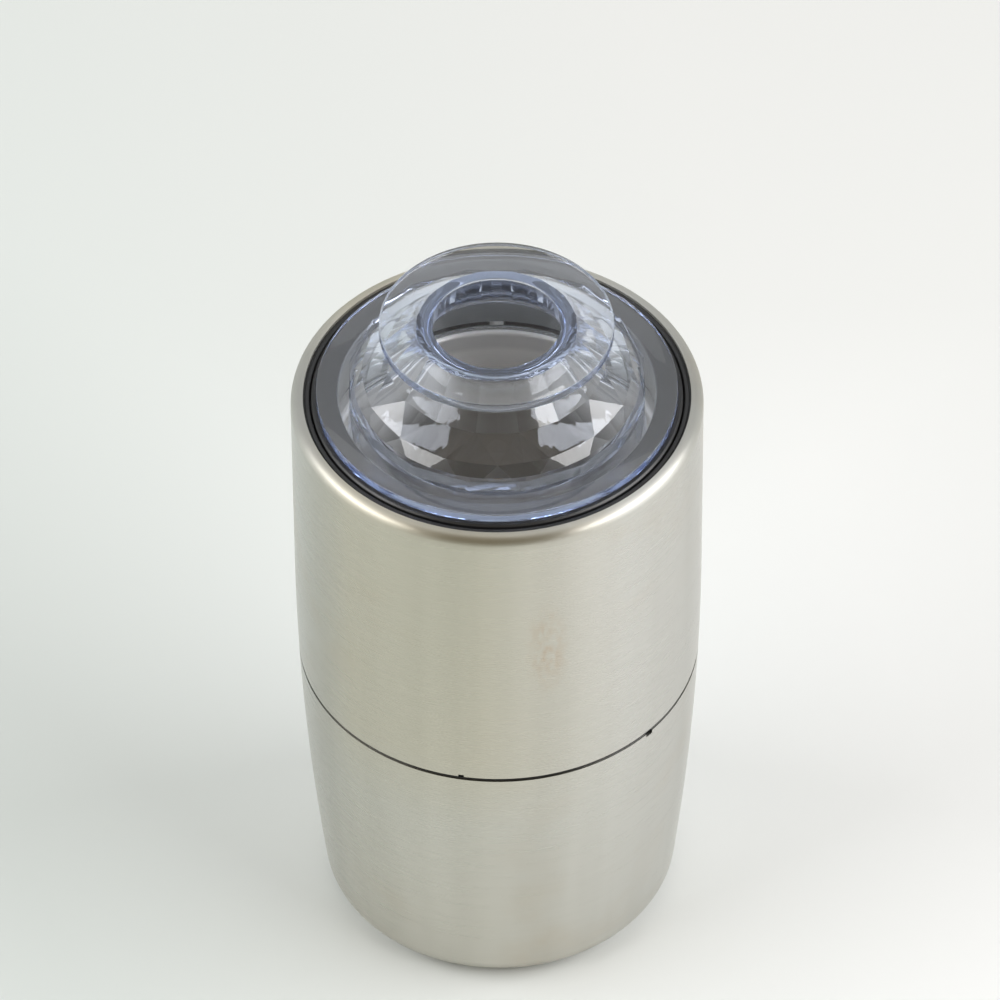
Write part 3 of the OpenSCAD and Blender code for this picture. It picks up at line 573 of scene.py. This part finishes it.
def rounded_disc(r, z0, z1, edge):
    """Half the outline of a disc with rounded edges."""
    return ([(0, z0)] + arc(r - edge, z0 + edge, edge, -90, 0, 5)
            + arc(r - edge, z1 - edge, edge, 0, 90, 5) + [(0, z1)])


def bend(a, corner, b, n):
    """A smooth curve from a to b that heads for the corner between them."""
    points = []
    for i in range(n + 1):
        t = i / n
        points.append(tuple((1 - t) ** 2 * p + 2 * t * (1 - t) * c + t * t * q
                            for p, c, q in zip(a, corner, b)))
    return points


def lid_hollow():
    """The hollow: a straight skirt, then one smooth funnel that narrows up to the hole."""
    inner = SKIRT_R - WALL
    return ([(0, SKIRT_Z - 1), (inner, SKIRT_Z - 1)]
            + bend((inner, FUNNEL_Z), FUNNEL_CORNER, (HOLE_R, FUNNEL_TOP), 18)
            + [(HOLE_R, LID_TOP + 1), (0, LID_TOP + 1)])


def keep_facets(mesh):
    """Marks every edge of the dome's flat facets as sharp."""
    half_wall = 1.4
    cut = set()
    for face in mesh.polygons:
        x, y, z = (c / MM for c in face.center)
        middle_of_wall = DOME_R - half_wall - (z - DOME_Z) * (DOME_R - NECK_R) / (NECK_Z - DOME_Z)
        if DOME_Z < z < NECK_Z - 0.1 and math.hypot(x, y) > middle_of_wall:
            cut.update(face.edge_keys)
    for edge in mesh.edges:
        if edge.key in cut:
            edge.use_edge_sharp = True


lid_mesh = combine(lathe(rounded_disc(FLANGE_R, FLANGE_Z, GIRDLE_Z, 0.35), LID_STEPS), [
    ("UNION", lathe([(0, SKIRT_Z), (SKIRT_R - 0.3, SKIRT_Z), (SKIRT_R, SKIRT_Z + 0.3),
                     (SKIRT_R, FLANGE_Z + 1), (0, FLANGE_Z + 1)], LID_STEPS)),
    ("UNION", prism(GIRDLE_R, GIRDLE_Z - 0.5, DOME_Z, FACETS, 0.5)),
    ("UNION", dome_mesh()),
    ("UNION", lathe(rounded_disc(DISC_R, DISC_Z, LID_TOP, 0.3), LID_STEPS)),
    ("DIFFERENCE", lathe(lid_hollow(), LID_STEPS)),
])
lid = add_object("lid_clear", lid_mesh, 25)
keep_facets(lid.data)
dress(lid, CLEAR, "lid_unit", "clear_plastic", "lid")


# ---------------------------------------------------------------- springs
def spring(name, x, y, coil_r, wire_r, turns, z0, z1, sides=8, per_turn=28):
    """One unbroken round wire that climbs a helix from z0 to z1."""
    bm = bmesh.new()
    steps = turns * per_turn
    rings = []
    for k in range(steps + 1):
        a = 2 * math.pi * k / per_turn
        z = z0 + wire_r + (z1 - z0 - 2 * wire_r) * k / steps
        ring = []
        for i in range(sides):
            b = 2 * math.pi * i / sides
            r = coil_r + wire_r * math.cos(b)
            ring.append(bm.verts.new((x + r * math.cos(a), y + r * math.sin(a),
                                      z + wire_r * math.sin(b))))
        rings.append(ring)
    for one, two in zip(rings, rings[1:]):
        for i in range(sides):
            j = (i + 1) % sides
            bm.faces.new((one[i], one[j], two[j], two[i]))
    bm.faces.new(rings[0])
    bm.faces.new(rings[-1][::-1])
    return add_object(name, bm, 50)


for number, angle in enumerate((30, 150, 270)):
    x, y = TRACK_R * math.cos(math.radians(angle)), TRACK_R * math.sin(math.radians(angle))
    coil = spring(f"return_spring_{number}", x, y, coil_r=1.5, wire_r=0.3, turns=6,
                  z0=SPRING_LOW, z1=SPRING_HIGH)
    dress(coil, SCREW_STEEL, "cup_unit", "screw_steel", "return_springs")
    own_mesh(coil)

coil = spring("switch_spring_coil", 0, TRACK_R, coil_r=2.1, wire_r=0.25, turns=4,
              z0=SWITCH_LOW, z1=SWITCH_HIGH)
dress(coil, SCREW_STEEL, "base", "screw_steel", "switch_spring")
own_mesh(coil)


# ---------------------------------------------------------------- floor, light and camera
def pale_floor():
    """Pale paper with painted shade: a little greener and darker on the left and dimmer at the back right."""
    m = Maker("floor_pale")
    x, y, _ = m.axes()
    # painted shade: the paper turns darker and a little greener towards the left
    across = m.math("ADD", x, m.math("MULTIPLY", y, 0.25))
    # painted shade: on the right side the paper dims towards the back
    right = m.mix(m.span(y, 0, 0.2, 0, 1), (0.92, 0.925, 0.93), (0.8, 0.805, 0.8))
    tone = m.mix(m.span(across, -0.12, 0.12, 0, 1), (0.71, 0.75, 0.735), right)
    m.set(Base_Color=tone, Roughness=0.9, Specular_IOR_Level=0.2)
    return m.mat


bm = bmesh.new()
bmesh.ops.create_grid(bm, x_segments=1, y_segments=1, size=6)
mesh = bpy.data.meshes.new("floor")
bm.to_mesh(mesh)
bm.free()
floor = bpy.data.objects.new("floor", mesh)
bpy.context.scene.collection.objects.link(floor)
mesh.materials.append(pale_floor())


def softbox(name, place, size, power):
    """A rectangular lamp that looks at the middle of the object."""
    data = bpy.data.lights.new(name, "AREA")
    data.shape = "RECTANGLE"
    data.size, data.size_y = size
    data.energy = power
    obj = bpy.data.objects.new(name, data)
    obj.location = place
    obj.rotation_euler = (Vector(LAMP_AIM) - Vector(place)).to_track_quat("-Z", "Y").to_euler()
    bpy.context.scene.collection.objects.link(obj)


LAMP_AIM = (0, 0, 0.1)
softbox("softbox_right", (1.35, -0.35, 1.05), (1.8, 0.55), 22)
softbox("softbox_left", (-1.35, -0.25, 1.05), (1.6, 0.55), 16)
softbox("softbox_top", (0.1, 0.5, 1.6), (1.2, 1.2), 3)

world = bpy.data.worlds.new("studio")
bpy.context.scene.world = world
world.use_nodes = True
tree = world.node_tree
coord = tree.nodes.new("ShaderNodeTexCoord")


def sky(aim, low, high, near, far):
    """Blends from near to far as a direction turns towards aim."""
    toward = tree.nodes.new("ShaderNodeVectorMath")
    toward.operation = "DOT_PRODUCT"
    toward.inputs[1].default_value = aim
    tree.links.new(coord.outputs["Generated"], toward.inputs[0])
    span = tree.nodes.new("ShaderNodeMapRange")
    span.inputs["From Min"].default_value = low
    span.inputs["From Max"].default_value = high
    tree.links.new(toward.outputs["Value"], span.inputs["Value"])
    mix = tree.nodes.new("ShaderNodeMix")
    mix.data_type = "RGBA"
    tree.links.new(span.outputs["Result"], mix.inputs[0])
    for socket, v in zip((mix.inputs[6], mix.inputs[7]), (near, far)):
        if isinstance(v, tuple):
            socket.default_value = (*v, 1)
        else:
            tree.links.new(v, socket)
    return mix.outputs[2]


# bright walls all round, dimmer overhead, and a dim warm room behind and above the camera
walls = sky((0, 0, 1), 0.2, 0.7, (0.8, 0.82, 0.8), (0.42, 0.43, 0.43))
room = sky((0, -0.8, 0.6), 0.42, 0.78, walls, (0.2, 0.165, 0.1))
tree.links.new(room, tree.nodes["Background"].inputs["Color"])

# The camera looks down at 45.75 degrees from 2.4 m, through a long lens. AIM lands within a pixel of
# AIM_PIXEL.
PIXELS = 1000
SENSOR = 36
PIXELS_PER_MM = 4.037
DISTANCE = 2.4
ELEVATION = math.radians(45.75)
AIM = Vector((0, 0, 0.0825))
AIM_PIXEL = (496.9, 625.3)
ROLL = -0.007
focal = PIXELS_PER_MM * DISTANCE / MM
camera_data = bpy.data.cameras.new("camera")
camera_data.sensor_fit = "HORIZONTAL"
camera_data.sensor_width = SENSOR
camera_data.lens = focal * SENSOR / PIXELS
camera_data.clip_end = 20
camera = bpy.data.objects.new("camera", camera_data)
bpy.context.scene.collection.objects.link(camera)
camera.location = AIM + DISTANCE * Vector((0, -math.cos(ELEVATION), math.sin(ELEVATION)))
pitch = ELEVATION - math.atan((AIM_PIXEL[1] - PIXELS / 2) / focal)
yaw = math.atan((AIM_PIXEL[0] - PIXELS / 2) / focal)
camera.rotation_euler = (Matrix.Rotation(yaw, 3, "Z") @ Matrix.Rotation(math.pi / 2 - pitch, 3, "X")
                         @ Matrix.Rotation(ROLL, 3, "Z")).to_euler()
bpy.context.scene.camera = camera
bpy.context.scene.view_settings.view_transform = "Standard"

# Light crosses the faces of the clear lid many times before it leaves at the edge.
bpy.context.scene.cycles.max_bounces = 40
bpy.context.scene.cycles.transmission_bounces = 40
bpy.context.scene.cycles.glossy_bounces = 12
